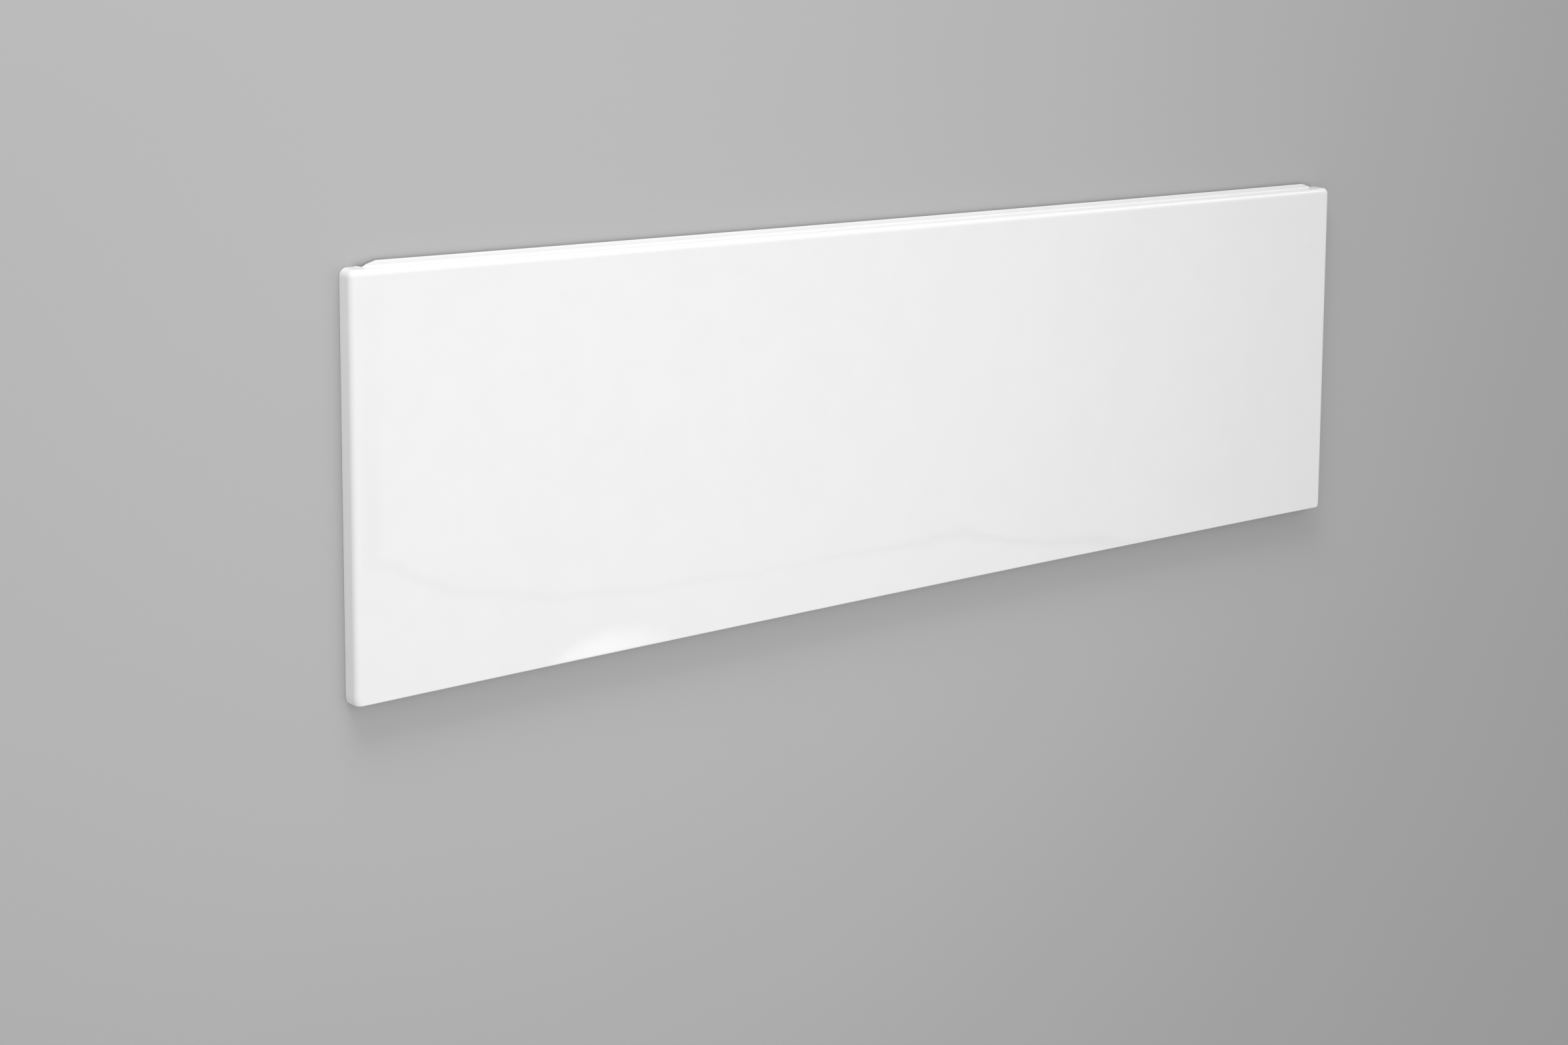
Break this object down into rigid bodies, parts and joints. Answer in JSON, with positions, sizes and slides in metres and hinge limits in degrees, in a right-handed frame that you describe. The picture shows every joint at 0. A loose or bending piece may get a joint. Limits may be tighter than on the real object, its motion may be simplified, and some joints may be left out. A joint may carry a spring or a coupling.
{
  "type": "bath panel",
  "caption": "Front panel for a straight bath, formed from one white gloss acrylic sheet, with bent end returns, a top ledge and a lip that goes behind the bath rim.",
  "frame": {"origin": "below the middle of the panel as it lies face up: centred along its length and between its bottom edge and the top of its lip, at the level of the back edges of the end returns", "axes": "+X along the length, +Y from the trimmed bottom edge towards the lip, +Z out of the face. The face sees +Z, so the panel lies on its back edges"},
  "size_m": [1.7, 0.52, 0.025],
  "materials": {
    "acrylic": "gloss white, moulded through, with a satin back and trimmed edges"
  },
  "bodies": {
    "root": {"bath_panel": "acrylic"}
  },
  "joints": []
}
